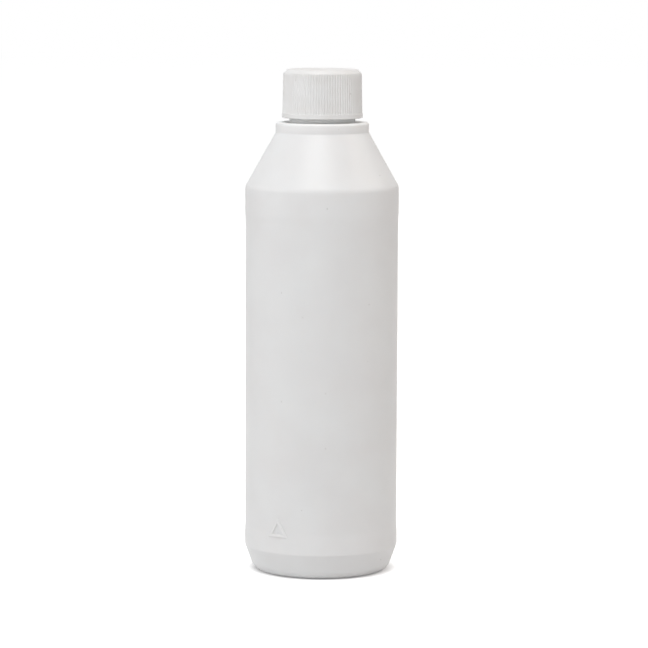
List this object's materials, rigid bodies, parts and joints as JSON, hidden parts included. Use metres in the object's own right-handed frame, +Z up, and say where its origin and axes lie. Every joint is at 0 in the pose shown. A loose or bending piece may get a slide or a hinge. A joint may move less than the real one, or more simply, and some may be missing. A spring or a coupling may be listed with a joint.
{
  "type": "screw cap bottle",
  "caption": "Tall round white plastic bottle with a tapered shoulder, a narrow collar and a finely ribbed screw cap that unscrews and lifts off.",
  "frame": {"origin": "centre of the standing ring of the base, on the surface that the bottle stands on", "axes": "+Z up along the bottle's axis, -Y towards the viewer of the picture, +X to the viewer's right"},
  "size_m": [0.06, 0.06, 0.1967],
  "materials": {
    "bottle": "white blow moulded polyethylene, fine satin",
    "cap": "white injection moulded polypropylene, satin",
    "liner": "off-white polyethylene foam, matt"
  },
  "bodies": {
    "bottle": {"bottle": "bottle", "neck": "bottle"},
    "liner": {"liner": "liner"},
    "cap": {"cap": "cap"}
  },
  "joints": [
    {"name": "cap_lift", "type": "slide", "parent": "bottle", "child": "liner", "axis": [0, 0, 1], "range_m": [0, 0.0212]},
    {"name": "cap_turn", "type": "hinge", "parent": "liner", "child": "cap", "pos_m": [0, 0, 0.19], "axis": [0, 0, 1], "range_deg": [0, 1800]}
  ],
  "couplings": [
    {"joint": "cap_lift", "follows": "cap_turn", "m_per_rad": 0.00067376}
  ]
}
